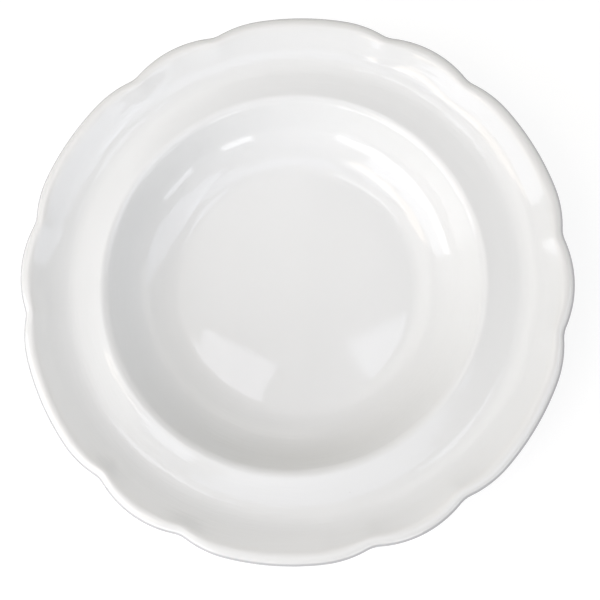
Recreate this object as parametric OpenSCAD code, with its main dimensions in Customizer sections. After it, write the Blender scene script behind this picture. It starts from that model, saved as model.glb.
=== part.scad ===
// Rimmed soup plate with a scalloped edge: one porcelain body under three coats of glaze.
// Millimetres, +Z up. The origin is the middle of the standing plane under the foot ring.

/* [Rim] */
// Overall diameter, across the lobes
rim_d = 240; // [210:1:280]
// Pairs of lobes around the edge, each pair one wide and one narrow
lobe_pairs = 6; // [5:1:8]
// Share of a pair's angle that its wide lobe takes
wide_lobe_share = 0.658; // [0.56:0.002:0.7]
// Radius of the narrow lobes and of both ends of the wide ones
lobe_end_r = 48; // [40:1:60]
// Hollow radius of the notch between two lobes
notch_r = 12; // [8:0.5:20]
// Width of the level ring, the lowest part of the rim
land_w = 3; // [2:0.5:6]
// Slope of the straight part of the rim
rim_angle = 37; // [20:1:42]
// Share of the rising rim that curves up, before it runs straight to the lip
curved_share = 0.77; // [0.5:0.01:0.95]
// Slope at which the lip's roll turns down and meets the rounded edge
lip_fall = 50; // [30:1:60]
// How fast the scallops fade out from the lip inwards, as a power of the way across the rim
scallop_fade = 2; // [1:0.25:4]

/* [Well] */
// Diameter of the floor, out to where the wall starts to curve up
floor_d = 110; // [90:1:120]
// Slope of the dished floor at its edge
floor_edge_angle = 2.5; // [1:0.5:5]
// Depth of the well, from the level ring of the rim to the middle of the floor
well_depth = 26; // [23:0.5:32]
// Radius of the curve between floor and wall
well_curve_r = 27; // [20:1:30]
// Slope of the straight part of the wall
wall_angle = 62; // [54:1:70]
// Slope at which the shoulder falls away outwards, down to the level ring
shoulder_fall = 5; // [2:0.5:8]
// Radius of the shallow hollow between the shoulder and the level ring
land_curve_r = 75; // [40:5:90]

/* [Thickness] */
// Thickness of the floor's middle, with its glaze
floor_t = 5; // [4:0.25:7]
// Thickness of the wall and of the rim, with the glaze
wall_t = 3.4; // [3.1:0.1:4.4]
// Radius of the rounded edge outside the lip's roll
lip_edge_r = 1.5; // [1:0.05:1.65]
// Hollow radius on the underside, below the shoulder
shoulder_hollow_r = 0.8; // [0.6:0.1:2]
// Hollow radius on the underside, below the lip's roll
lip_hollow_r = 0.9; // [0.6:0.1:1.6]
// Thickness of the fired glaze
glaze_t = 0.3; // [0.15:0.05:0.5]

/* [Foot ring] */
// Outer diameter of the foot ring
foot_d = 128; // [116:1:134]
// Width of the foot ring
foot_w = 4.5; // [3.5:0.25:7]
// Height of the hollow inside the foot ring
foot_h = 3; // [2.75:0.25:3.75]
// Radius of the ring's standing corners
foot_corner_r = 1.2; // [0.8:0.1:1.25]
// Fillet radius where the ring meets the underside
foot_fillet_r = 1.4; // [0.8:0.1:1.4]
// Height of the wiped edge that is left bare of glaze
bare_h = 1.3; // [1.25:0.05:1.35]

/* [Hidden] */
$fn = 240;

// Turn between two points of a curve: in the well, across the rim, round a small corner,
// over the lip's roll, and under it
well_step = 4;
rim_step = 8;
corner_step = 15;
roll_step = 20;
under_step = 37;
// Columns of points from a narrow lobe's middle to its notch, and on to a wide lobe's middle
narrow_columns = 4;
wide_columns = 7;
// Share of the level ring where the scalloped band starts, and where the turned middle ends
band_share = 0.2;
middle_share = 0.8;

rim_r = rim_d / 2;
floor_r = floor_d / 2;
foot_r = foot_d / 2;
foot_in_r = foot_r - foot_w;

// The scalloped outline: equal circles near the edge, joined by notches and by wide crowns
pair_angle = 360 / lobe_pairs;
narrow_half_angle = pair_angle * (1 - wide_lobe_share) / 2;
lobe_centre_r = rim_r - lobe_end_r;
notch_centre_r = lobe_centre_r * cos(narrow_half_angle)
    + sqrt(pow(lobe_end_r + notch_r, 2) - pow(lobe_centre_r * sin(narrow_half_angle), 2));
lobe_sweep = atan2(notch_centre_r * sin(narrow_half_angle),
    notch_centre_r * cos(narrow_half_angle) - lobe_centre_r);
notch_half_angle = narrow_half_angle
    - atan2(lobe_end_r * sin(lobe_sweep), lobe_centre_r + lobe_end_r * cos(lobe_sweep));

// Radius of the outline, at an angle counted from the middle of a narrow lobe
function edge_r(angle) =
    let (folded = abs((angle + pair_angle / 2) % pair_angle - pair_angle / 2),
        from_notch = abs(folded - narrow_half_angle))
    from_notch > narrow_half_angle ? rim_r
    : from_notch > notch_half_angle ? lobe_edge_r(narrow_half_angle - from_notch)
    : notch_centre_r * cos(from_notch)
        - sqrt(pow(notch_r, 2) - pow(notch_centre_r * sin(from_notch), 2));

// Radius of a lobe's circle, at an angle from its middle
function lobe_edge_r(angle) = lobe_centre_r * cos(angle)
    + sqrt(pow(lobe_end_r, 2) - pow(lobe_centre_r * sin(angle), 2));

// Angles of the columns of points, close together on the narrow lobes and at the notches
half_angles = concat(
    [for (i = [0 : narrow_columns - 1]) narrow_half_angle * i / narrow_columns],
    [for (i = [0 : wide_columns - 1])
        narrow_half_angle + (pair_angle / 2 - narrow_half_angle) * i / wide_columns]);
half_columns = narrow_columns + wide_columns;
column_angles = [for (pair = [0 : lobe_pairs - 1], i = [0 : 2 * half_columns - 1])
    pair * pair_angle + (i < half_columns ? half_angles[i]
        : i == half_columns ? pair_angle / 2
        : pair_angle - half_angles[2 * half_columns - i])];

// Centres and radii of the section's arcs, from the middle of the floor outwards
floor_z = foot_h + floor_t;
land_z = floor_z + well_depth;
floor_curve_r = floor_r / sin(floor_edge_angle);
floor_centre = [0, floor_z + floor_curve_r];
floor_dish = floor_curve_r * (1 - cos(floor_edge_angle));
well_centre = [floor_r, floor_z + floor_dish]
    + well_curve_r * [-sin(floor_edge_angle), cos(floor_edge_angle)];
shoulder_r = shoulder_hollow_r + wall_t;
shoulder_z = land_z + land_curve_r * (1 - cos(shoulder_fall)) - shoulder_r * cos(shoulder_fall);
wall_rise = shoulder_z - well_centre.y + (shoulder_r + well_curve_r) * cos(wall_angle);
shoulder_x = well_centre.x + wall_rise / tan(wall_angle)
    + (shoulder_r + well_curve_r) * sin(wall_angle);
shoulder_centre = [shoulder_x, shoulder_z];

// The level ring, where the turned middle and the scalloped band share their surfaces
land_x = shoulder_x + (shoulder_r + land_curve_r) * sin(shoulder_fall);
land_centre = [land_x, land_z + land_curve_r];
band_start_x = land_x + band_share * land_w;
middle_end_x = land_x + middle_share * land_w;

// The rim, as it is in a section through a lobe: a curve up, a straight run, and the lip,
// which rolls over outwards and ends in a rounded edge
rim_foot_x = land_x + land_w;
lip_r = lip_hollow_r + wall_t;
lip_x = rim_r - lip_edge_r - (lip_r - lip_edge_r) * sin(lip_fall);
rim_run = lip_x - lip_r * sin(rim_angle) - rim_foot_x;
rim_curve_r = curved_share * rim_run / sin(rim_angle);
rim_centre = [rim_foot_x, land_z + rim_curve_r];
lip_z = land_z + rim_curve_r * (1 - cos(rim_angle))
    + (1 - curved_share) * rim_run * tan(rim_angle) - lip_r * cos(rim_angle);
lip_centre = [lip_x, lip_z];
edge_centre = lip_centre + (lip_r - lip_edge_r) * [sin(lip_fall), cos(lip_fall)];
under_angle = 90 - lip_fall - asin((lip_hollow_r + lip_edge_r) / (lip_r - lip_edge_r));

// Points of an arc in the section, each with its slope: [radius, height, slope].
// side is 1 where the arc's centre is above the surface, and -1 where it is below.
function bend(centre, r, from, to, side, step) =
    let (count = ceil(abs(to - from) / step))
    [for (i = [0 : count])
        let (slope = from + (to - from) * i / count)
        [centre.x + side * r * sin(slope), centre.y - side * r * cos(slope), slope]];

// Points of a small corner, between two directions from its centre
function corner(centre, r, from, to, step) =
    let (count = ceil(abs(to - from) / step))
    [for (i = [0 : count])
        let (angle = from + (to - from) * i / count)
        centre + r * [cos(angle), sin(angle)]];

// The middle's upper surface, from an angle of the well's curve out to its end on the ring
function wall_line(from) = concat(
    bend(well_centre, well_curve_r, from, wall_angle, 1, well_step),
    bend(shoulder_centre, shoulder_r, wall_angle, -shoulder_fall, -1, well_step),
    but_first(bend(land_centre, land_curve_r, -shoulder_fall, 0, 1, well_step)),
    [[middle_end_x, land_z, 0]]);

// A line sunk into the plate along its surface's normals
function sunk(line, depth) =
    [for (point = line) [point.x + depth * sin(point[2]), point.y - depth * cos(point[2])]];

function backwards(list) = [for (i = [len(list) - 1 : -1 : 0]) list[i]];
function but_first(list) = [for (i = [1 : len(list) - 1]) list[i]];

// The outer fillet of the foot ring, tangent to the ring and to the underside of the wall
back_curve_r = well_curve_r + wall_t;
fillet_x = foot_r + foot_fillet_r;
fillet_angle = asin((fillet_x - well_centre.x) / (back_curve_r + foot_fillet_r));
fillet_z = well_centre.y - (back_curve_r + foot_fillet_r) * cos(fillet_angle);

// The turned middle's outline in four runs, each a skin's thickness below the glazed surface.
// Face: from the axis out to the level ring
function face_run(skin) = concat(
    sunk(bend(floor_centre, floor_curve_r, 0, floor_edge_angle, 1, well_step), skin),
    sunk(wall_line(floor_edge_angle), skin));

// Back: from the level ring in to the bare edge, outside the foot ring
function back_run(skin) = concat(
    backwards(sunk(wall_line(fillet_angle), wall_t - skin)),
    corner([fillet_x, fillet_z], foot_fillet_r + skin, 90 + fillet_angle, 180, corner_step),
    [[foot_r - skin, bare_h]]);

// Stand: the bare edge under the foot ring
function stand_run(skin) =
    let (r = foot_corner_r - skin)
    concat(
        corner([foot_r - foot_corner_r, r], r, 0, -90, corner_step),
        corner([foot_in_r + foot_corner_r, r], r, -90, -180, corner_step));

// Base: from the bare edge, inside the foot ring, to the axis
function base_run(skin) = concat(
    [[foot_in_r + skin, bare_h]],
    corner([foot_in_r, foot_h] - foot_fillet_r * [1, 1], foot_fillet_r + skin, 0, 90, corner_step),
    [[0, foot_h + skin]]);

// The rim's outline in two runs, as it is in a section through a lobe.
// Face: from the level ring to the outermost point of the edge
function rim_face_run(skin) = concat(
    [[band_start_x, land_z - skin]],
    sunk(bend(rim_centre, rim_curve_r, 0, rim_angle, 1, rim_step), skin),
    sunk(bend(lip_centre, lip_r, rim_angle, -lip_fall, -1, roll_step), skin),
    but_first(corner(edge_centre, lip_edge_r - skin, 90 - lip_fall, 0, roll_step)));

// Back: from the outermost point of the edge to the level ring
function rim_back_run(skin) = concat(
    corner(edge_centre, lip_edge_r - skin, 0, under_angle - 90, under_step),
    sunk(bend(lip_centre, lip_hollow_r, under_angle, rim_angle, -1, under_step), -skin),
    sunk(bend(rim_centre, rim_curve_r + wall_t, rim_angle, 0, 1, rim_step), -skin),
    [[band_start_x, land_z - wall_t + skin]]);

// Section of a coat of glaze, between its surface and the body that it covers
module coat_section(surface, under) {
    polygon(concat(surface, backwards(under)));
}

// Share of the scallops that a point of the rim follows: none on the level ring, all at the lip
function follow(x) =
    pow(min(1, max(0, (x - rim_foot_x) / (lip_x - rim_foot_x))), scallop_fade);

// The rim as one closed band of triangles: a loop of the section at each column's angle
module scalloped_band(loop) {
    rows = len(loop);
    columns = len(column_angles);
    points = [for (angle = column_angles, point = loop)
        let (r = point.x - (rim_r - edge_r(angle)) * follow(point.x))
        [r * cos(angle), r * sin(angle), point.y]];
    faces = [for (i = [0 : columns - 1], j = [0 : rows - 1])
        let (here = i * rows, next = (i + 1) % columns * rows, up = (j + 1) % rows)
        each [[here + j, next + up, here + up], [here + j, next + j, next + up]]];
    polyhedron(points, faces);
}

module porcelain_body() {
    color("linen") {
        rotate_extrude()
            polygon(concat(face_run(glaze_t), back_run(glaze_t), stand_run(glaze_t),
                base_run(glaze_t)));
        scalloped_band(concat(rim_face_run(glaze_t), but_first(rim_back_run(glaze_t))));
    }
}

module face_glaze() {
    color("whitesmoke") {
        rotate_extrude()
            coat_section(face_run(0), face_run(glaze_t));
        scalloped_band(concat(rim_face_run(0), backwards(rim_face_run(glaze_t))));
    }
}

module back_glaze() {
    color("whitesmoke") {
        rotate_extrude()
            coat_section(back_run(0), back_run(glaze_t));
        scalloped_band(concat(rim_back_run(0), backwards(rim_back_run(glaze_t))));
    }
}

module base_glaze() {
    color("whitesmoke")
        rotate_extrude()
            coat_section(base_run(0), base_run(glaze_t));
}

porcelain_body();
face_glaze();
back_glaze();
base_glaze();
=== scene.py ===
# %% [markdown]
# # A scalloped soup plate in white porcelain
#
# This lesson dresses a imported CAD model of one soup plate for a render. The plate is a single
# piece of fired clay under three coats of clear glaze: one on the face, one on the back, and one
# inside the foot ring. Each of the four is its own mesh here, in the same place as its CAD solid.
# The frame comes first: it brings in the CAD bodies, and nothing in it is moved or changed.

# %% Load the frame
import math

import bpy
import numpy as np
from mathutils import Matrix, Vector


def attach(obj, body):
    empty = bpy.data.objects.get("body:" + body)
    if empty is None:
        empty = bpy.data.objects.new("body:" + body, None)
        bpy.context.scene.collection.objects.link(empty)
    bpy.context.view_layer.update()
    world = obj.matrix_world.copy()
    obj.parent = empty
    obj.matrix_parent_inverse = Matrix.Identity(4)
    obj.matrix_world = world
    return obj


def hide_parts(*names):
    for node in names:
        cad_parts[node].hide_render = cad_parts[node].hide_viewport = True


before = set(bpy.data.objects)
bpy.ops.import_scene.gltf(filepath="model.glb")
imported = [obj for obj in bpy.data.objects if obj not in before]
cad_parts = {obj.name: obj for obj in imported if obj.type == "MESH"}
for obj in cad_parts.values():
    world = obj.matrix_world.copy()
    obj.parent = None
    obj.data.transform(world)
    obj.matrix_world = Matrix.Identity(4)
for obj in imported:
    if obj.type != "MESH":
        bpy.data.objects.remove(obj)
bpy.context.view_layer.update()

# %% [markdown]
# ## The sizes
#
# A potter would cut one template of the plate's section, and press or turn every plate against
# it. The same values drive the CAD source, so a piece made from them lands on its solid, and only
# the waving of the rim is shared out a little differently, as told further down. Lengths are in
# metres, which is what Blender and the frame use, and slopes are in degrees.

# %% Sizes of the section and of the scalloped edge
MM = 0.001
rim_r = 120 * MM
lobe_pairs = 6
wide_lobe_share = 0.658
lobe_end_r = 48 * MM
notch_r = 12 * MM
land_w = 3 * MM
rim_angle = 37
curved_share = 0.77
lip_fall = 50

floor_r = 55 * MM
floor_edge_angle = 2.5
well_depth = 26 * MM
well_curve_r = 27 * MM
wall_angle = 62
shoulder_fall = 5
land_curve_r = 75 * MM

floor_t = 5 * MM
wall_t = 3.4 * MM
lip_edge_r = 1.5 * MM
shoulder_hollow_r = 0.8 * MM
lip_hollow_r = 0.9 * MM
glaze_t = 0.3 * MM

foot_r = 64 * MM
foot_w = 4.5 * MM
foot_h = 3 * MM
foot_corner_r = 1.2 * MM
foot_fillet_r = 1.4 * MM
bare_h = 1.3 * MM


def sine(degrees):
    return math.sin(math.radians(degrees))


def cosine(degrees):
    return math.cos(math.radians(degrees))


def point(x, z):
    return np.array([x, z])


print("diameter, mm:", 2 * rim_r / MM, "lobes:", 2 * lobe_pairs, "glaze, mm:", glaze_t / MM)

# %% [markdown]
# ## The arcs of the section
#
# The section is a chain of arcs and straight runs that pass into each other without a corner:
# floor, well curve, wall, shoulder, shallow hollow, level ring, rim curve, straight rim, and the
# lip that rolls over to a rounded edge. Glaze shows every kink as a broken reflection, so all
# the centres are worked out from the sizes, and none is placed by eye.

# %% Centres of the arcs, from the middle of the floor outwards
floor_z = foot_h + floor_t
land_z = floor_z + well_depth
floor_curve_r = floor_r / sine(floor_edge_angle)
floor_centre = point(0, floor_z + floor_curve_r)
floor_dish = floor_curve_r * (1 - cosine(floor_edge_angle))
well_centre = point(floor_r, floor_z + floor_dish) + well_curve_r * point(
    -sine(floor_edge_angle), cosine(floor_edge_angle))

shoulder_r = shoulder_hollow_r + wall_t
shoulder_z = (land_z + land_curve_r * (1 - cosine(shoulder_fall))
              - shoulder_r * cosine(shoulder_fall))
wall_rise = shoulder_z - well_centre[1] + (shoulder_r + well_curve_r) * cosine(wall_angle)
shoulder_x = (well_centre[0] + wall_rise * cosine(wall_angle) / sine(wall_angle)
              + (shoulder_r + well_curve_r) * sine(wall_angle))
shoulder_centre = point(shoulder_x, shoulder_z)

land_x = shoulder_x + (shoulder_r + land_curve_r) * sine(shoulder_fall)
land_centre = point(land_x, land_z + land_curve_r)
rim_foot_x = land_x + land_w

lip_r = lip_hollow_r + wall_t
lip_x = rim_r - lip_edge_r - (lip_r - lip_edge_r) * sine(lip_fall)
rim_run = lip_x - lip_r * sine(rim_angle) - rim_foot_x
rim_curve_r = curved_share * rim_run / sine(rim_angle)
rim_centre = point(rim_foot_x, land_z + rim_curve_r)
lip_z = (land_z + rim_curve_r * (1 - cosine(rim_angle))
         + (1 - curved_share) * rim_run * sine(rim_angle) / cosine(rim_angle)
         - lip_r * cosine(rim_angle))
lip_centre = point(lip_x, lip_z)
edge_centre = lip_centre + (lip_r - lip_edge_r) * point(sine(lip_fall), cosine(lip_fall))
under_angle = 90 - lip_fall - math.degrees(
    math.asin((lip_hollow_r + lip_edge_r) / (lip_r - lip_edge_r)))

back_curve_r = well_curve_r + wall_t
fillet_x = foot_r + foot_fillet_r
fillet_angle = math.degrees(math.asin((fillet_x - well_centre[0]) / (back_curve_r + foot_fillet_r)))
fillet_z = well_centre[1] - (back_curve_r + foot_fillet_r) * cosine(fillet_angle)
foot_in_r = foot_r - foot_w
edge_z = edge_centre[1]

print("height, mm:", round((lip_z + lip_r) / MM, 2),
      "shoulder radius at its crest, mm:", round(shoulder_x / MM, 2))

# %% [markdown]
# ## Laying points along the arcs
#
# Each arc is written as points that also carry the slope there, because the inside of a coat of
# glaze is the outside moved along its own normals. A step says how far the surface may turn
# between two points: small where the eye sees reflections, large where a coat hides the body.


# %% Points along an arc, a small corner, and a line sunk below another
def bend(centre, r, start, end, side, step):
    """Points of an arc with their slopes. side is 1 with the centre above, -1 with it below."""
    count = max(1, math.ceil(abs(end - start) / step))
    slopes = np.linspace(start, end, count + 1)
    turns = np.radians(slopes)
    return np.column_stack([centre[0] + side * r * np.sin(turns),
                            centre[1] - side * r * np.cos(turns), slopes])


def sunk(line, depth):
    """A line moved into the plate along its normals. It comes back without its slopes."""
    turns = np.radians(line[:, 2])
    return np.column_stack([line[:, 0] + depth * np.sin(turns),
                            line[:, 1] - depth * np.cos(turns)])


def corner(centre, r, start, end, step):
    """Points of a small corner, between two directions from its centre."""
    count = max(1, math.ceil(abs(end - start) / step))
    turns = np.radians(np.linspace(start, end, count + 1))
    return np.column_stack([centre[0] + r * np.cos(turns), centre[1] + r * np.sin(turns)])


def straight(start, end, count):
    """Points on a straight run between two points, without its ends."""
    shares = np.linspace(0, 1, count + 2)[1:-1, None]
    return np.asarray(start) * (1 - shares) + np.asarray(end) * shares


print("points on a quarter turn in steps of 10 degrees:", len(bend(point(0, 0), 1, 0, 90, 1, 10)))

# %% [markdown]
# ## The runs of the section
#
# The section is cut into four runs at the places where one skin ends and the next begins: the
# edge's outermost point and the two wiped lines on the foot ring. The first run starts on the
# axis and the last one ends there. A run takes a skin depth: 0 gives the glazed surface, and the
# glaze's thickness gives the clay below it. The nearly level floor would get too few points from
# the common step, so it divides it, and tight bends would get too many, so they multiply it.

# %% Face, back, stand and base
floor_finer = 14
roll_coarser, corner_coarser = 3, 6
back_rim_coarser, back_wall_coarser = 2, 1.5
on_straight, on_base = 3, 12


def joined(*parts):
    """Runs of points one after another, without their slopes."""
    return np.vstack([np.asarray(part)[:, :2] for part in parts])


def face_run(skin, step):
    """From the axis out to the outermost point of the edge."""
    floor = bend(floor_centre, floor_curve_r, 0, floor_edge_angle, 1, step / floor_finer)
    wall = bend(well_centre, well_curve_r, floor_edge_angle, wall_angle, 1, step)
    shoulder = bend(shoulder_centre, shoulder_r, wall_angle, -shoulder_fall, -1,
                    roll_coarser * step)
    hollow = bend(land_centre, land_curve_r, -shoulder_fall, 0, 1, step)
    rise = bend(rim_centre, rim_curve_r, 0, rim_angle, 1, step)
    roll = bend(lip_centre, lip_r, rim_angle, -lip_fall, -1, roll_coarser * step)
    runs = [sunk(part, skin) for part in (floor, wall, shoulder, hollow, rise, roll)]
    floor, wall, shoulder, hollow, rise, roll = runs
    edge = corner(edge_centre, lip_edge_r - skin, 90 - lip_fall, 0, corner_coarser * step)
    return joined(floor, wall[1:], straight(wall[-1], shoulder[0], on_straight), shoulder,
                  hollow[1:], straight(hollow[-1], rise[0], 1), rise,
                  straight(rise[-1], roll[0], on_straight), roll, edge[1:])


def back_run(skin, step):
    """From the outermost point of the edge in to the wiped line outside the foot ring."""
    hollow = bend(lip_centre, lip_hollow_r, under_angle, rim_angle, -1, corner_coarser * step)
    rise = bend(rim_centre, rim_curve_r + wall_t, rim_angle, 0, 1, back_rim_coarser * step)
    land = bend(land_centre, land_curve_r + wall_t, 0, -shoulder_fall, 1, step)
    shoulder = bend(shoulder_centre, shoulder_hollow_r, -shoulder_fall, wall_angle, -1,
                    corner_coarser * step)
    wall = bend(well_centre, back_curve_r, wall_angle, fillet_angle, 1, back_wall_coarser * step)
    runs = [sunk(part, -skin) for part in (hollow, rise, land, shoulder, wall)]
    hollow, rise, land, shoulder, wall = runs
    edge = corner(edge_centre, lip_edge_r - skin, 0, under_angle - 90, corner_coarser * step)
    fillet = corner((fillet_x, fillet_z), foot_fillet_r + skin, 90 + fillet_angle, 180,
                    corner_coarser * step)
    return joined(edge, hollow, straight(hollow[-1], rise[0], on_straight), rise, land,
                  shoulder[1:], straight(shoulder[-1], wall[0], on_straight), wall, fillet[1:],
                  [(foot_r - skin, bare_h)])


def stand_run(skin, step):
    """The bare edge under the foot ring, between the two wiped lines."""
    r = foot_corner_r - skin
    return joined(corner((foot_r - foot_corner_r, r), r, 0, -90, step),
                  corner((foot_in_r + foot_corner_r, r), r, -90, -180, step))


def base_run(skin, step):
    """From the wiped line inside the foot ring to the axis."""
    fillet = corner((foot_in_r - foot_fillet_r, foot_h - foot_fillet_r), foot_fillet_r + skin,
                    0, 90, step)
    middle = (0, foot_h + skin)
    return joined([(foot_in_r + skin, bare_h)], fillet, straight(fillet[-1], middle, on_base),
                  [middle])


print("points from the axis to the edge in steps of 5 degrees:", len(face_run(0, 5)))

# %% [markdown]
# ## Turning a section round a scalloped edge
#
# A plain plate is its section turned round the axis. Here the outline waves in and out, so each
# point of the rim also follows the wave: none of it on the level ring, all of it at the lip. That
# is a rule, and Geometry Nodes follow it well. One tree takes any section, lays a grid with a
# row for each of its points, bends the grid round the axis, and draws the rows in by the rule.
# Every lobe ends in an arc well inside the rim's circle, and a small circle hollows the notch.

# %% Start the tree, with a named input for each size
turning = bpy.data.node_groups.new("Turned and scalloped", "GeometryNodeTree")
turning.is_modifier = True
turning.interface.new_socket("Geometry", in_out="OUTPUT", socket_type="NodeSocketGeometry")
turning.interface.new_socket("Section", in_out="INPUT", socket_type="NodeSocketGeometry")
for label in ("Columns", "Lobe Pairs"):
    turning.interface.new_socket(label, in_out="INPUT", socket_type="NodeSocketInt")
for label in ("Rim Radius", "Wide Lobe Share", "Lobe End Radius", "Notch Radius",
              "Fade Start", "Fade End", "Fade Power", "Weld Distance"):
    turning.interface.new_socket(label, in_out="INPUT", socket_type="NodeSocketFloat")
turning.interface.new_socket("Material", in_out="INPUT", socket_type="NodeSocketMaterial")
turning_in = turning.nodes.new("NodeGroupInput").outputs
turning_out = turning.nodes.new("NodeGroupOutput").inputs


def fill(tree, socket, value):
    """Feeds an input socket from another socket, or sets it to a plain value."""
    if isinstance(value, bpy.types.NodeSocket):
        tree.links.new(value, socket)
    else:
        socket.default_value = value


def calc(tree, operation, *values):
    """One Math node. Its inputs are sockets or numbers, and it gives back its result."""
    node = tree.nodes.new("ShaderNodeMath")
    node.operation = operation
    for socket, value in zip(node.inputs, values):
        fill(tree, socket, value)
    return node.outputs[0]


def turn(operation, *values):
    """One Math node in the turning tree."""
    return calc(turning, operation, *values)


print("tree inputs:", [item.name for item in turning.interface.items_tree
                       if item.in_out == "INPUT"])

# %% [markdown]
# A vertex of the grid only knows its number. Its row and its column follow from that number by
# whole division, and the column gives its direction round the plate. Ping-pong then folds the
# whole turn onto half of one pair of lobes, so that the rule is only written for one notch.

# %% How far each direction is from the nearest notch
columns_in, pairs_in = turning_in["Columns"], turning_in["Lobe Pairs"]
index = turning.nodes.new("GeometryNodeInputIndex").outputs[0]


def whole(operation, first, second):
    """One Integer Math node in the turning tree."""
    node = turning.nodes.new("FunctionNodeIntegerMath")
    node.operation = operation
    fill(turning, node.inputs[0], first)
    fill(turning, node.inputs[1], second)
    return node.outputs[0]


per_row = whole("ADD", columns_in, 1)
row = whole("DIVIDE_FLOOR", index, per_row)
column = whole("MODULO", index, per_row)
direction = turn("MULTIPLY", turn("DIVIDE", column, columns_in), math.tau)

half_pair = turn("DIVIDE", math.pi, pairs_in)
narrow_half = turn("MULTIPLY", half_pair, turn("SUBTRACT", 1.0, turning_in["Wide Lobe Share"]))
folded = turn("PINGPONG", direction, half_pair)
from_notch = turn("ABSOLUTE", turn("SUBTRACT", folded, narrow_half))
print("half a narrow lobe, degrees:", round(180 / lobe_pairs * (1 - wide_lobe_share), 2))

# %% [markdown]
# Now the outline's rule, as a turner would set it out with compasses: the rim's own circle in the
# middle of a wide lobe, a smaller circle at a lobe's end, and the smallest in the notch. The notch
# touches the ends of both its lobes, and where they touch says which circle a direction takes.

# %% Radius of the outline in any direction
outer, end_r, hollow_r = (turning_in[label] for label in
                          ("Rim Radius", "Lobe End Radius", "Notch Radius"))


def crossing(centre_r, angle, r):
    """A ray from the axis cuts a chord in a circle of radius r, whose centre is at centre_r and
    turned from the ray by the angle. Gives the way out to the chord's middle, and half the chord."""
    across = turn("MULTIPLY", centre_r, turn("SINE", angle))
    half_squared = turn("SUBTRACT", turn("MULTIPLY", r, r), turn("MULTIPLY", across, across))
    return turn("MULTIPLY", centre_r, turn("COSINE", angle)), turn("SQRT", half_squared)


lobe_centre_r = turn("SUBTRACT", outer, end_r)
middle, half_chord = crossing(lobe_centre_r, narrow_half, turn("ADD", end_r, hollow_r))
notch_centre_r = turn("ADD", middle, half_chord)
sweep = turn("ARCTAN2", turn("MULTIPLY", notch_centre_r, turn("SINE", narrow_half)),
             turn("SUBTRACT", turn("MULTIPLY", notch_centre_r, turn("COSINE", narrow_half)),
                  lobe_centre_r))
joint = turn("ARCTAN2", turn("MULTIPLY", end_r, turn("SINE", sweep)),
             turn("ADD", lobe_centre_r, turn("MULTIPLY", end_r, turn("COSINE", sweep))))
notch_half = turn("SUBTRACT", narrow_half, joint)

middle, half_chord = crossing(lobe_centre_r, turn("SUBTRACT", narrow_half, from_notch), end_r)
on_lobe = turn("ADD", middle, half_chord)
middle, half_chord = crossing(notch_centre_r, from_notch, hollow_r)
in_notch = turn("SUBTRACT", middle, half_chord)


def choose(question, if_no, if_yes):
    """One Switch node: the second value where the question is 0, and the third where it is 1."""
    node = turning.nodes.new("GeometryNodeSwitch")
    node.input_type = "FLOAT"
    fill(turning, node.inputs["Switch"], question)
    fill(turning, node.inputs["False"], if_no)
    fill(turning, node.inputs["True"], if_yes)
    return node.outputs[0]


off_notch = choose(turn("GREATER_THAN", from_notch, narrow_half), on_lobe, outer)
outline = choose(turn("GREATER_THAN", from_notch, notch_half), in_notch, off_notch)
print("the outline's rule:", len(turning.nodes), "nodes")

# %% [markdown]
# Now the grid itself. Every vertex looks up its section point by row, is drawn in by its share of
# the wave, and is swung to its column's direction.

# %% Bend the grid round the axis
section_size = turning.nodes.new("GeometryNodeAttributeDomainSize")
turning.links.new(turning_in["Section"], section_size.inputs["Geometry"])
grid = turning.nodes.new("GeometryNodeMeshGrid")
turning.links.new(section_size.outputs["Point Count"], grid.inputs["Vertices X"])
turning.links.new(per_row, grid.inputs["Vertices Y"])

lookup = turning.nodes.new("GeometryNodeSampleIndex")
lookup.data_type = "FLOAT_VECTOR"
turning.links.new(turning_in["Section"], lookup.inputs["Geometry"])
turning.links.new(turning.nodes.new("GeometryNodeInputPosition").outputs[0],
                  lookup.inputs["Value"])
turning.links.new(row, lookup.inputs["Index"])
section_point = turning.nodes.new("ShaderNodeSeparateXYZ")
turning.links.new(lookup.outputs[0], section_point.inputs[0])
section_r, section_z = section_point.outputs["X"], section_point.outputs["Z"]

fade_start, fade_end = turning_in["Fade Start"], turning_in["Fade End"]
across = turn("DIVIDE", turn("SUBTRACT", section_r, fade_start),
              turn("SUBTRACT", fade_end, fade_start))
across = turn("MINIMUM", 1.0, turn("MAXIMUM", 0.0, across))
follow = turn("POWER", across, turning_in["Fade Power"])
drawn_in = turn("MULTIPLY", turn("SUBTRACT", outer, outline), follow)
radius = turn("SUBTRACT", section_r, drawn_in)

place = turning.nodes.new("ShaderNodeCombineXYZ")
turning.links.new(turn("MULTIPLY", radius, turn("COSINE", direction)), place.inputs["X"])
turning.links.new(turn("MULTIPLY", radius, turn("SINE", direction)), place.inputs["Y"])
turning.links.new(section_z, place.inputs["Z"])
put = turning.nodes.new("GeometryNodeSetPosition")
turning.links.new(grid.outputs["Mesh"], put.inputs["Geometry"])
turning.links.new(place.outputs[0], put.inputs["Position"])
print("grid bent:", len(turning.nodes), "nodes")

# %% [markdown]
# The grid's first and last columns meet, and a row on the axis shrinks to one point, so a weld
# closes the seam and the poles. Then the piece is shaded smooth and gets its finish.

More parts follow.
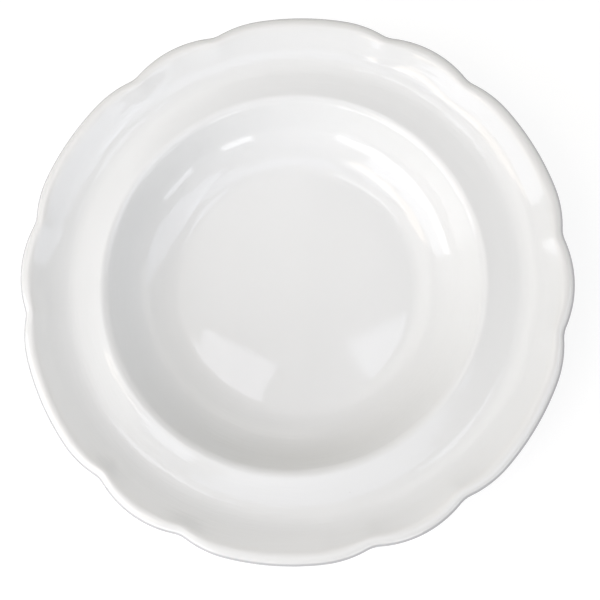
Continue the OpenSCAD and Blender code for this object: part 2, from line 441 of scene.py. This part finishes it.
# %% Close the seam and give the finish
weld = turning.nodes.new("GeometryNodeMergeByDistance")
turning.links.new(put.outputs[0], weld.inputs["Geometry"])
turning.links.new(turning_in["Weld Distance"], weld.inputs["Distance"])
smooth = turning.nodes.new("GeometryNodeSetShadeSmooth")
turning.links.new(weld.outputs[0], smooth.inputs["Geometry"])
realize = turning.nodes.new("GeometryNodeRealizeInstances")
turning.links.new(smooth.outputs[0], realize.inputs["Geometry"])
finish_with = turning.nodes.new("GeometryNodeSetMaterial")
turning.links.new(realize.outputs[0], finish_with.inputs["Geometry"])
turning.links.new(turning_in["Material"], finish_with.inputs["Material"])
turning.links.new(finish_with.outputs[0], turning_out["Geometry"])
print("turning tree:", len(turning.nodes), "nodes")


# %% [markdown]
# ## From a section to a finished piece
#
# A helper hangs the tree on a section, sets its inputs by their identifiers, and keeps the result
# as a plain mesh, so that nothing live is left on the piece. The share of the wave grows with the
# third power of the way from the level ring to the lip. So nearly all of the waving happens close
# to the lip, and reflections run smoothly past the notches, as they do on the real plate. The CAD
# solid uses the second power, and beside a notch the two are less than a millimetre apart.

# %% Turn a section into a mesh
wave_power = 3.0
weld_distance = 0.001 * MM


def turned_piece(name, section, columns, material):
    """Turns a section, given as points of radius and height, into a closed piece."""
    line = bpy.data.meshes.new(name + "_section")
    line.from_pydata([(x, 0, z) for x, z in section], [], [])
    piece = bpy.data.objects.new(name, line)
    bpy.context.scene.collection.objects.link(piece)
    modifier = piece.modifiers.new("Turn", "NODES")
    modifier.node_group = turning
    settings = {"Columns": columns, "Lobe Pairs": lobe_pairs, "Rim Radius": rim_r,
                "Wide Lobe Share": wide_lobe_share, "Lobe End Radius": lobe_end_r,
                "Notch Radius": notch_r, "Fade Start": rim_foot_x, "Fade End": lip_x,
                "Fade Power": wave_power, "Weld Distance": weld_distance,
                "Material": material}
    for item in turning.interface.items_tree:
        if item.name in settings:
            modifier[item.identifier] = settings[item.name]
    seen = piece.evaluated_get(bpy.context.evaluated_depsgraph_get())
    mesh = bpy.data.meshes.new_from_object(seen)
    piece.modifiers.remove(modifier)
    piece.data = mesh
    bpy.data.meshes.remove(line)
    mesh.name = name
    return piece


print("the wave grows with power", wave_power, "from radius, mm:", round(rim_foot_x / MM, 2),
      "to", round(lip_x / MM, 2))

# %% [markdown]
# ## Effects that the finishes share
#
# Three effects serve more than one finish, so each is a node group that puts out a value. The
# first follows how the plate was made: a wheel or a roller head leaves faint rings, and the glaze
# levels them but never quite hides them, which is why a highlight on porcelain looks combed along
# the circumference. It reads the radius and the direction, and never the view. The direction goes
# in as a point on a circle, so that the pattern closes on itself after a whole turn.

# %% Group: place along the rings left by turning
rings = bpy.data.node_groups.new("Turning rings", "ShaderNodeTree")
rings.interface.new_socket("Height", in_out="OUTPUT", socket_type="NodeSocketFloat")
for label, start in (("Rings per Metre", 300.0), ("Drift per Turn", 3.0), ("Wander", 40.0),
                     ("Calm Radius", 0.05), ("Lively Radius", 0.07), ("Calm Share", 0.1)):
    rings.interface.new_socket(label, in_out="INPUT",
                               socket_type="NodeSocketFloat").default_value = start
rings_in = rings.nodes.new("NodeGroupInput").outputs
rings_out = rings.nodes.new("NodeGroupOutput").inputs
coords = rings.nodes.new("ShaderNodeTexCoord")
split = rings.nodes.new("ShaderNodeSeparateXYZ")
rings.links.new(coords.outputs["Object"], split.inputs[0])
x, y, z = (split.outputs[label] for label in "XYZ")
distance = calc(rings, "SQRT", calc(rings, "ADD", calc(rings, "MULTIPLY", x, x),
                                    calc(rings, "MULTIPLY", y, y)))
off_axis = calc(rings, "MAXIMUM", distance, 1 * MM)
along = calc(rings, "ADD", distance, z)
ring_place = rings.nodes.new("ShaderNodeCombineXYZ")
drift = rings_in["Drift per Turn"]
rings.links.new(calc(rings, "MULTIPLY", calc(rings, "DIVIDE", x, off_axis), drift),
                ring_place.inputs["X"])
rings.links.new(calc(rings, "MULTIPLY", calc(rings, "DIVIDE", y, off_axis), drift),
                ring_place.inputs["Y"])
rings.links.new(calc(rings, "MULTIPLY", along, rings_in["Rings per Metre"]),
                ring_place.inputs["Z"])
print("place along the rings:", len(rings.nodes), "nodes")

# %% [markdown]
# Two noises make the relief. The comb is read at that place, so it is drawn out along the rings,
# and the swell is the slow unevenness of the glaze, read in plain space. Both are held down on the
# floor of the well, where the glaze pools and levels best.

# %% Group: relief of the rings
comb = rings.nodes.new("ShaderNodeTexNoise")
comb.inputs["Scale"].default_value = 1.0
comb.inputs["Detail"].default_value = 2.5
rings.links.new(ring_place.outputs[0], comb.inputs["Vector"])
swell = rings.nodes.new("ShaderNodeTexNoise")
swell.inputs["Detail"].default_value = 1.0
rings.links.new(coords.outputs["Object"], swell.inputs["Vector"])
rings.links.new(rings_in["Wander"], swell.inputs["Scale"])

liveliness = rings.nodes.new("ShaderNodeMapRange")
liveliness.interpolation_type = "SMOOTHSTEP"
rings.links.new(distance, liveliness.inputs["Value"])
rings.links.new(rings_in["Calm Radius"], liveliness.inputs["From Min"])
rings.links.new(rings_in["Lively Radius"], liveliness.inputs["From Max"])
rings.links.new(rings_in["Calm Share"], liveliness.inputs["To Min"])
noise_middle, swell_weight = 0.5, 1.5
comb_relief = calc(rings, "SUBTRACT", comb.outputs["Fac"], noise_middle)
swell_relief = calc(rings, "SUBTRACT", swell.outputs["Fac"], noise_middle)
relief = calc(rings, "ADD", comb_relief, calc(rings, "MULTIPLY", swell_relief, swell_weight))
rings.links.new(calc(rings, "MULTIPLY", relief, liveliness.outputs["Result"]),
                rings_out["Height"])
print("group for the rings:", len(rings.nodes), "nodes")

# %% [markdown]
# The second is slow drift in tone: kiln gas and the thickness of a coat change the white by a
# hair from one side of a plate to the other. The third is the few tiny dots that every fired
# piece carries, pinholes where a bubble broke and grains of iron in the clay.

# %% Groups: tone drift, and dots
drift_group = bpy.data.node_groups.new("Tone drift", "ShaderNodeTree")
drift_group.interface.new_socket("Mask", in_out="OUTPUT", socket_type="NodeSocketFloat")
drift_group.interface.new_socket("Scale", in_out="INPUT",
                                 socket_type="NodeSocketFloat").default_value = 12.0
drift_in = drift_group.nodes.new("NodeGroupInput").outputs
drift_out = drift_group.nodes.new("NodeGroupOutput").inputs
cloud = drift_group.nodes.new("ShaderNodeTexNoise")
cloud.inputs["Detail"].default_value = 2.0
drift_group.links.new(drift_group.nodes.new("ShaderNodeTexCoord").outputs["Object"],
                      cloud.inputs["Vector"])
drift_group.links.new(drift_in["Scale"], cloud.inputs["Scale"])
drift_group.links.new(cloud.outputs["Fac"], drift_out["Mask"])

dots = bpy.data.node_groups.new("Fired dots", "ShaderNodeTree")
dots.interface.new_socket("Mask", in_out="OUTPUT", socket_type="NodeSocketFloat")
for label, start in (("Per Metre", 90.0), ("Radius", 0.03), ("Share", 0.2)):
    dots.interface.new_socket(label, in_out="INPUT",
                              socket_type="NodeSocketFloat").default_value = start
dots_in = dots.nodes.new("NodeGroupInput").outputs
dots_out = dots.nodes.new("NodeGroupOutput").inputs
cells = dots.nodes.new("ShaderNodeTexVoronoi")
dots.links.new(dots.nodes.new("ShaderNodeTexCoord").outputs["Object"], cells.inputs["Vector"])
dots.links.new(dots_in["Per Metre"], cells.inputs["Scale"])
cell_tone = dots.nodes.new("ShaderNodeSeparateColor")
dots.links.new(cells.outputs["Color"], cell_tone.inputs[0])
spot = calc(dots, "SUBTRACT", 1.0, calc(dots, "DIVIDE", cells.outputs["Distance"],
                                        dots_in["Radius"]))
spot = calc(dots, "MAXIMUM", 0.0, spot)
spot = calc(dots, "MULTIPLY", spot, calc(dots, "LESS_THAN", cell_tone.outputs[0],
                                         dots_in["Share"]))
dots.links.new(spot, dots_out["Mask"])
print("shared groups:", [group.name for group in (rings, drift_group, dots)])


# %% [markdown]
# ## Helpers for the finishes
#
# A finish is a small tree of nodes, and the same few moves come back in each: place a group, blend
# two colours by a mask, stretch a noise until it covers the whole range, and let a height tilt the
# light. Each move is a helper, so that the finishes below read as a list of what was done.


# %% Helpers for the finishes
def use_group(tree, group, **values):
    """Places a shared group. Underscores stand for the blanks in its inputs' names."""
    node = tree.nodes.new("ShaderNodeGroup")
    node.node_tree = group
    for label, value in values.items():
        node.inputs[label.replace("_", " ")].default_value = value
    return node.outputs[0]


def blend_colours(tree, mask, first, second):
    """The first colour where the mask is 0, the second where it is 1."""
    node = tree.nodes.new("ShaderNodeMix")
    node.data_type = "RGBA"
    fill(tree, node.inputs["Factor"], mask)
    fill(tree, node.inputs["A"], first)
    fill(tree, node.inputs["B"], second)
    return node.outputs["Result"]


def new_material(name):
    """An empty finish. It comes back with its tree and its one shader."""
    material = bpy.data.materials.new(name)
    material.use_nodes = True
    tree = material.node_tree
    return material, tree, tree.nodes["Principled BSDF"]


def spread(tree, value, low, high):
    """Stretches a value so that low becomes 0 and high becomes 1, and cuts it off there."""
    node = tree.nodes.new("ShaderNodeMapRange")
    fill(tree, node.inputs["Value"], value)
    node.inputs["From Min"].default_value = low
    node.inputs["From Max"].default_value = high
    return node.outputs["Result"]


def bump_from(tree, shader, height, strength, depth):
    """Lets a height of 0 to 1, as deep as given, tilt the light on the shader."""
    node = tree.nodes.new("ShaderNodeBump")
    node.inputs["Strength"].default_value = strength
    node.inputs["Distance"].default_value = depth
    tree.links.new(height, node.inputs["Height"])
    tree.links.new(node.outputs[0], shader.inputs["Normal"])


def object_place(tree):
    """The place on the piece, split into x, y and z."""
    place_parts = tree.nodes.new("ShaderNodeSeparateXYZ")
    tree.links.new(tree.nodes.new("ShaderNodeTexCoord").outputs["Object"], place_parts.inputs[0])
    return place_parts.outputs


# %% [markdown]
# ## Painted shade on the outer side of the lip
#
# In the photograph a thin dark line runs round the whole plate. Part of it is the shade on the outer
# side of the lip, which turns away from the windows, and that shade is painted into the glaze as a
# greyer tone. A mask finds it: the surface there faces away from the axis, and it lies no lower than
# the rounded edge.

# %% Mask for the painted shade on the outer side of the lip
grey_starts, grey_full = 0.5, 0.68
# Painted shade: the grey that the outer side of the lip is blended towards, standing in for the
# shade there.
lip_painted_shade = (0.42, 0.41, 0.43, 1)
lip_painted_shade_share = 0.75


def lip_shade_mask(tree):
    """1 where the surface faces away from the axis, as the outer side of the lip does; it places the
    painted shade.
    """
    position = object_place(tree)
    level = tree.nodes.new("ShaderNodeCombineXYZ")
    tree.links.new(position["X"], level.inputs["X"])
    tree.links.new(position["Y"], level.inputs["Y"])
    outward = tree.nodes.new("ShaderNodeVectorMath")
    outward.operation = "NORMALIZE"
    tree.links.new(level.outputs[0], outward.inputs[0])
    facing = tree.nodes.new("ShaderNodeVectorMath")
    facing.operation = "DOT_PRODUCT"
    tree.links.new(outward.outputs["Vector"], facing.inputs[0])
    tree.links.new(tree.nodes.new("ShaderNodeTexCoord").outputs["Normal"], facing.inputs[1])
    on_lip = spread(tree, position["Z"], edge_z - lip_edge_r, edge_z)
    turned_out = spread(tree, facing.outputs["Value"], grey_starts, grey_full)
    return calc(tree, "MULTIPLY", turned_out, on_lip)


print("lip greys where it turns out by, degrees:",
      [round(math.degrees(math.asin(share)), 1) for share in (grey_starts, grey_full)])

# %% [markdown]
# ## Clear glaze
#
# Porcelain under clear glaze scatters light inside the white body and mirrors a little of it at
# the skin of glass, sharp and without colour. One shader carries both: a pale base colour, a low
# roughness, and glass's own refractive index. The coat is thinnest on the lip and lets a little of
# the warmer body through there. The three coats are one finish, and only the base is a shade less
# white.

# %% The three coats of glaze
glass_index = 1.5
ring_depth = 0.09 * MM
noise_low, noise_high = 0.3, 0.7
drift_low, drift_high = 0.35, 0.65
drift_dims = 0.985
thins_from, thinnest_at = lip_z + 0.6 * lip_r, lip_z + 1.1 * lip_r
speck_brown, speck_share = (0.42, 0.38, 0.33, 1), 0.35
least_rough, added_rough = 0.025, 0.02


def glaze_finish(name, tint, warm_tint):
    """Clear glaze on a white body: drifting white, warmer on the lip, painted shade on the lip's
    outer side, and combed by turning.
    """
    material, tree, shader = new_material(name)
    drift = spread(tree, use_group(tree, drift_group, Scale=11.0), drift_low, drift_high)
    colour = blend_colours(tree, drift, tint, [drift_dims * c for c in tint[:3]] + [1])
    thin = spread(tree, object_place(tree)["Z"], thins_from, thinnest_at)
    colour = blend_colours(tree, thin, colour, warm_tint)
    # Painted shade: the outer side of the lip, which turns away from the lamps, is blended towards
    # grey.
    edge = calc(tree, "MULTIPLY", lip_shade_mask(tree), lip_painted_shade_share)
    colour = blend_colours(tree, edge, colour, lip_painted_shade)
    specks = use_group(tree, dots, Per_Metre=70.0, Radius=0.022, Share=0.1)
    colour = blend_colours(tree, calc(tree, "MULTIPLY", specks, speck_share), colour, speck_brown)
    tree.links.new(colour, shader.inputs["Base Color"])

    shader.inputs["IOR"].default_value = glass_index
    wear = spread(tree, use_group(tree, drift_group, Scale=38.0), noise_low, noise_high)
    tree.links.new(calc(tree, "ADD", least_rough, calc(tree, "MULTIPLY", wear, added_rough)),
                   shader.inputs["Roughness"])
    marks = use_group(tree, rings, Rings_per_Metre=380.0, Drift_per_Turn=5.0, Wander=60.0)
    bump_from(tree, shader, marks, 1.0, ring_depth)
    return material


white = (0.83, 0.8315, 0.826, 1)
warm_white = (0.82, 0.815, 0.8, 1)
base_white = (0.815, 0.815, 0.8, 1)
face_finish = glaze_finish("clear_glaze_face", white, warm_white)
back_finish = glaze_finish("clear_glaze_back", white, warm_white)
base_finish = glaze_finish("clear_glaze_base", base_white, warm_white)
print("coats:", [coat.name for coat in (face_finish, back_finish, base_finish)])

# %% [markdown]
# ## Bare porcelain
#
# The standing edge is wiped clean before firing, or the glaze would weld the plate to the shelf.
# Bare porcelain has no skin of glass, so it is matt, a little creamy, and as grainy as fine paper.
# Grey rubs come from stacking, and dark grains of iron show more than under glaze.

# %% The bare standing edge
cream, deep_cream = (0.76, 0.73, 0.67, 1), (0.69, 0.65, 0.585, 1)
rub_grey, rub_share = (0.5, 0.47, 0.43, 1), 0.35
rub_low, rub_high = 0.52, 0.7
grain_brown, grain_share = (0.3, 0.26, 0.21, 1), 0.5
bare_rough, bare_added_rough = 0.62, 0.2
grain_depth, grain_strength = 0.05 * MM, 0.6


def bare_porcelain(name):
    """Matt fired clay: grainy cream, rubbed grey in patches, with dark grains."""
    material, tree, shader = new_material(name)
    grain = spread(tree, use_group(tree, drift_group, Scale=900.0), noise_low, noise_high)
    colour = blend_colours(tree, grain, cream, deep_cream)
    rub = spread(tree, use_group(tree, drift_group, Scale=70.0), rub_low, rub_high)
    colour = blend_colours(tree, calc(tree, "MULTIPLY", rub, rub_share), colour, rub_grey)
    specks = use_group(tree, dots, Per_Metre=420.0, Radius=0.12, Share=0.25)
    colour = blend_colours(tree, calc(tree, "MULTIPLY", specks, grain_share), colour, grain_brown)
    tree.links.new(colour, shader.inputs["Base Color"])
    tree.links.new(calc(tree, "ADD", bare_rough, calc(tree, "MULTIPLY", grain, bare_added_rough)),
                   shader.inputs["Roughness"])
    bump_from(tree, shader, grain, grain_strength, grain_depth)
    return material


bisque_finish = bare_porcelain("bare_porcelain")
print("bare clay:", bisque_finish.name, "with", len(bisque_finish.node_tree.nodes), "nodes")

# %% [markdown]
# ## Weighing a piece
#
# A closed skin with its faces outwards has a volume above zero. It is the sum of the tetrahedra
# between the origin and each triangle, and it says how much clay or glaze a piece holds.

# %% Volume of a piece
CUBIC_METRE_ML = 1e6


def volume_ml(piece):
    """Volume inside a closed mesh: a sixth of the box that each triangle's corners span."""
    mesh = piece.data
    mesh.calc_loop_triangles()
    places = np.empty(3 * len(mesh.vertices))
    mesh.vertices.foreach_get("co", places)
    corners = np.empty(3 * len(mesh.loop_triangles), dtype=np.int64)
    mesh.loop_triangles.foreach_get("vertices", corners)
    a, b, c = places.reshape(-1, 3)[corners.reshape(-1, 3)].transpose(1, 0, 2)
    return CUBIC_METRE_ML * float(np.einsum("ij,ij->", a, np.cross(b, c))) / 6


# %% [markdown]
# ## The four pieces
#
# Each coat is a closed skin: its outer surface in fine steps, then back along the clay in coarse
# ones. A section always runs clockwise, with the rim to the right, so every skin's faces point
# outwards. The back coat doesn't reach the axis, so its section comes back to its first point.
# Steps are in degrees of slope. More columns than these would take the face past 200,000
# triangles, and the clay and the base need fewer, because little of them shows.

# %% Turn the coats and the clay body
fine, coarse = 1.5, 3.5
foot_fine, foot_coarse = 10, 30
many_columns, fewer_columns = 468, 360

face_section = joined(face_run(0, fine), face_run(glaze_t, coarse)[::-1])
back_section = joined(back_run(0, fine), back_run(glaze_t, coarse)[::-1])
back_section = joined(back_section, back_section[:1])
base_section = joined(base_run(glaze_t, foot_coarse)[::-1], base_run(0, foot_fine))
body_section = joined(face_run(glaze_t, coarse), back_run(glaze_t, coarse),
                      stand_run(glaze_t, foot_fine), base_run(glaze_t, foot_coarse))

plate_pieces = [
    turned_piece("glazed_face", face_section, many_columns, face_finish),
    turned_piece("glazed_back", back_section, many_columns, back_finish),
    turned_piece("glazed_base", base_section, fewer_columns, base_finish),
    turned_piece("fired_body", body_section, fewer_columns, bisque_finish),
]
stands_for = ("face_glaze", "back_glaze", "base_glaze", "porcelain_body")
slots = ("face_glaze", "back_glaze", "base_glaze", "bisque")
for piece, node, slot in zip(plate_pieces, stands_for, slots):
    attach(piece, "root")
    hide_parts(node)
    volume = volume_ml(piece)
    print(piece.name, "volume, ml:", round(volume, 2), "triangles:",
          len(piece.data.loop_triangles))

# %% [markdown]
# ## The camera
#
# The photograph was taken from about 30 cm above the lip, nearly overhead and a little to the
# lower right, with a slight roll. The rig is written as where the camera is, the point it looks
# at, and how far it is rolled, and a matrix is built from those. Its heights start at the edge,
# because the edge's outline is what the camera was fitted to.

# %% Camera at the photograph's angle
lens_mm, sensor_mm = 41.77, 36
camera_data = bpy.data.cameras.new("camera")
camera_data.sensor_width = sensor_mm
camera_data.lens = lens_mm
camera_data.clip_start = 0.01
camera_data.clip_end = 60
camera = bpy.data.objects.new("camera", camera_data)
bpy.context.scene.collection.objects.link(camera)
bpy.context.scene.camera = camera

camera_at = Vector((0.0309, -0.0578, edge_z + 0.2937))
looks_at = Vector((0.0054, -0.0107, edge_z))
camera_roll = math.radians(-2.64)


def aim(thing, at, target, up):
    """Points a camera or a lamp from one place to another, with up as the top of its frame."""
    away = (at - target).normalized()
    right = up.cross(away).normalized()
    turned = Matrix((right, away.cross(right), away)).transposed()
    thing.matrix_world = Matrix.Translation(at) @ turned.to_4x4()


aim(camera, camera_at, looks_at, Vector((math.sin(camera_roll), math.cos(camera_roll), 0.0)))
print("camera above the edge, mm:", round((camera_at.z - edge_z) / MM, 1))

# %% [markdown]
# ## Floor and background
#
# The picture is a plain white one. The floor is a wide sheet of paper, a hair below the foot ring
# so that the two never share a plane. To the camera, and in reflections, part of its brightness
# is its own, so that it reads as white and still keeps the plate's soft shadow. Its own share
# grows with distance, because far off the lamps no longer reach it. The world behind it is seen as
# white too, and as a light it is only a dim fill, so that the lamps can shape the plate.

# %% Pale floor and white surroundings
half = 12.0
paper_z = -0.05 * MM
paper_corners = [(-half, -half, paper_z), (half, -half, paper_z), (half, half, paper_z),
                 (-half, half, paper_z)]
floor_mesh = bpy.data.meshes.new("floor")
floor_mesh.from_pydata(paper_corners, [], [(0, 1, 2, 3)])
floor = bpy.data.objects.new("floor", floor_mesh)
bpy.context.scene.collection.objects.link(floor)


def seen_directly(tree):
    """1 for camera, glossy and transmission rays, so that all of them see the same white."""
    path = tree.nodes.new("ShaderNodeLightPath").outputs
    seen = calc(tree, "ADD", path["Is Camera Ray"], path["Is Glossy Ray"])
    seen = calc(tree, "ADD", seen, path["Is Transmission Ray"])
    return calc(tree, "MINIMUM", 1.0, seen)


glow_near, glow_far = 0.75, 1.0
glow_grows_from, glow_grows_to = 0.3, 0.9
paper_grey = (0.35, 0.35, 0.35, 1)

paper, tree, shader = new_material("white_paper")
tree.nodes.remove(shader)
diffuse = tree.nodes.new("ShaderNodeBsdfDiffuse")
diffuse.inputs["Color"].default_value = paper_grey
glow = tree.nodes.new("ShaderNodeEmission")
from_plate = tree.nodes.new("ShaderNodeVectorMath")
from_plate.operation = "LENGTH"
tree.links.new(tree.nodes.new("ShaderNodeTexCoord").outputs["Object"], from_plate.inputs[0])
growth = spread(tree, from_plate.outputs["Value"], glow_grows_from, glow_grows_to)
own_light = calc(tree, "ADD", glow_near, calc(tree, "MULTIPLY", glow_far - glow_near, growth))
tree.links.new(calc(tree, "MULTIPLY", seen_directly(tree), own_light), glow.inputs["Strength"])
both = tree.nodes.new("ShaderNodeAddShader")
tree.links.new(diffuse.outputs[0], both.inputs[0])
tree.links.new(glow.outputs[0], both.inputs[1])
tree.links.new(both.outputs[0], tree.nodes["Material Output"].inputs["Surface"])
floor_mesh.materials.append(paper)

dim_fill, seen_white = (0.264, 0.2585, 0.232, 1), (1, 1, 1, 1)
world = bpy.data.worlds.new("white_surroundings")
bpy.context.scene.world = world
world.use_nodes = True
tree = world.node_tree
background = tree.nodes["Background"]
tree.links.new(blend_colours(tree, seen_directly(tree), dim_fill, seen_white),
               background.inputs["Color"])
background.inputs["Strength"].default_value = 1.0
print("paper", 2 * half, "m wide; fill light:", dim_fill[:3])

# %% [markdown]
# ## Light
#
# Glaze shows its lights as clearly as a mirror, so every lamp is placed by where its mirror image
# falls on the plate. All of them are flat area lamps, and each is given the brightness of its
# image in a perfect mirror. Glaze mirrors about one part in twenty-five, so an image shows as a
# faint patch over the white body, and the same lamps light that body too.


# %% A flat lamp, given by how bright its image is
def panel(name, at, target, up, width, height, radiance, tint):
    """An area lamp. radiance is how bright its mirror image would be in a perfect mirror."""
    lamp = bpy.data.lights.new(name, "AREA")
    lamp.shape = "RECTANGLE"
    lamp.size, lamp.size_y = width, height
    lamp.energy = radiance * math.pi * width * height
    lamp.color = tint
    box = bpy.data.objects.new(name, lamp)
    bpy.context.scene.collection.objects.link(box)
    box.visible_camera = False
    aim(box, at, target, up)
    print(name, "at", [round(c, 2) for c in at], "size", round(width, 2), round(height, 2))


# %% [markdown]
# ### Windows at the sides
#
# A tall window stands close by on the left. Its sill, pane and head have their own brightness and
# tint, and their images are the white crescent in the well and the bright band on the right of the
# rim, which the warm head edges. Two small things far off in front give the short streaks on the
# far wall of the well, and a dim wall at the back right lifts the shadow side. A window is given
# by its azimuths and by its elevations, seen from the glaze on the far side of the plate.

# %% Windows at the sides
plate_seen_z = 0.03
across_plate = 0.09


def upright_window(name, away, azimuths, elevations, radiance, tint):
    """A window that fills a range of azimuths and of elevations, in degrees."""
    start, end = azimuths
    low, high = elevations
    middle, half_spread = (start + end) / 2, (end - start) / 2
    bottom, top = ((away + across_plate) * sine(tilt) / cosine(tilt) for tilt in (low, high))
    width = 2 * away * sine(half_spread) / cosine(half_spread)
    at = Vector((away * cosine(middle), away * sine(middle), plate_seen_z + (bottom + top) / 2))
    panel(name, at, Vector((0, 0, at.z)), Vector((0, 0, 1)), width, top - bottom, radiance, tint)


close_by, far_off = 0.6, 1.5
upright_window("left_window_sill", close_by, (181, 248), (7, 24), 3.7, (0.97, 0.98, 1.0))
upright_window("left_window_pane", close_by, (180, 230), (24, 44), 2.5, (0.89, 0.91, 1.0))
upright_window("left_window_head", close_by, (182, 233), (46, 59), 3.2, (1.0, 0.86, 0.7))
upright_window("far_lamp", far_off, (286, 300), (7, 20), 4.0, (0.97, 0.98, 1.0))
upright_window("far_pane", far_off, (316, 334), (7, 17), 2.5, (0.9, 0.94, 1.0))
upright_window("back_wall", far_off, (5, 105), (25, 40), 0.74, (1.0, 0.96, 0.9))

# %% [markdown]
# ### Skylights and ceiling
#
# Level panels hang overhead. A large cool skylight on the right is the cool band in the left of
# the well and on the left of the rim, the strip and the left skylight are the bluish bands along
# the top of the rim, and two small openings are the two pale patches on the floor of the well. The
# ceiling itself is four dim panels, one above the other, each reaching a little further right, so
# that its image fades out in steps too small to see instead of ending in a line.


# %% Skylights and ceiling
def ceiling_panel(name, x, y, height, angle, length, width, radiance, tint):
    """A level panel that faces down, with its length turned by an angle from the x axis."""
    at = Vector((x, y, height))
    side = Vector((-sine(angle), cosine(angle), 0))
    panel(name, at, Vector((x, y, 0)), side, length, width, radiance, tint)


ceiling_z = 1.3
high_z = 2 * ceiling_z
ceiling_panel("right_skylight", 2.78, -0.47, high_z, 16, 3.7, 1.95, 1.75, (0.83, 0.87, 1.0))
ceiling_panel("left_skylight", -0.6, -0.44, ceiling_z, 0, 0.4, 0.5, 1.6, (0.83, 0.87, 1.0))
ceiling_panel("sky_strip", 0.1, -0.33, ceiling_z, 0, 0.8, 0.42, 1.2, (0.81, 0.86, 1.0))
ceiling_panel("overhead_left", -0.22, 0.085, ceiling_z, -24, 0.11, 0.13, 2.2, (0.9, 0.9, 1.0))
ceiling_panel("overhead_right", 0.03, 0.105, ceiling_z, 28, 0.09, 0.165, 2.0, (0.85, 0.89, 1.0))

ceiling_left, right_edges = -1.1, (-0.33, -0.23, -0.13, -0.03)
ceiling_y, ceiling_width, step_up = 0.3, 0.9, 0.1
ceiling_glow, ceiling_cream = 0.3, (1.0, 0.98, 0.93)
for step, right_edge in enumerate(right_edges, 1):
    ceiling_panel(f"pale_ceiling_{step}", (ceiling_left + right_edge) / 2, ceiling_y,
                  ceiling_z + step_up * step, 0, right_edge - ceiling_left, ceiling_width,
                  ceiling_glow, ceiling_cream)

# %% [markdown]
# ## The view
#
# The picture is shown without any tone curve, so a colour comes out as it is written.

# %% View
bpy.context.scene.view_settings.view_transform = "Standard"
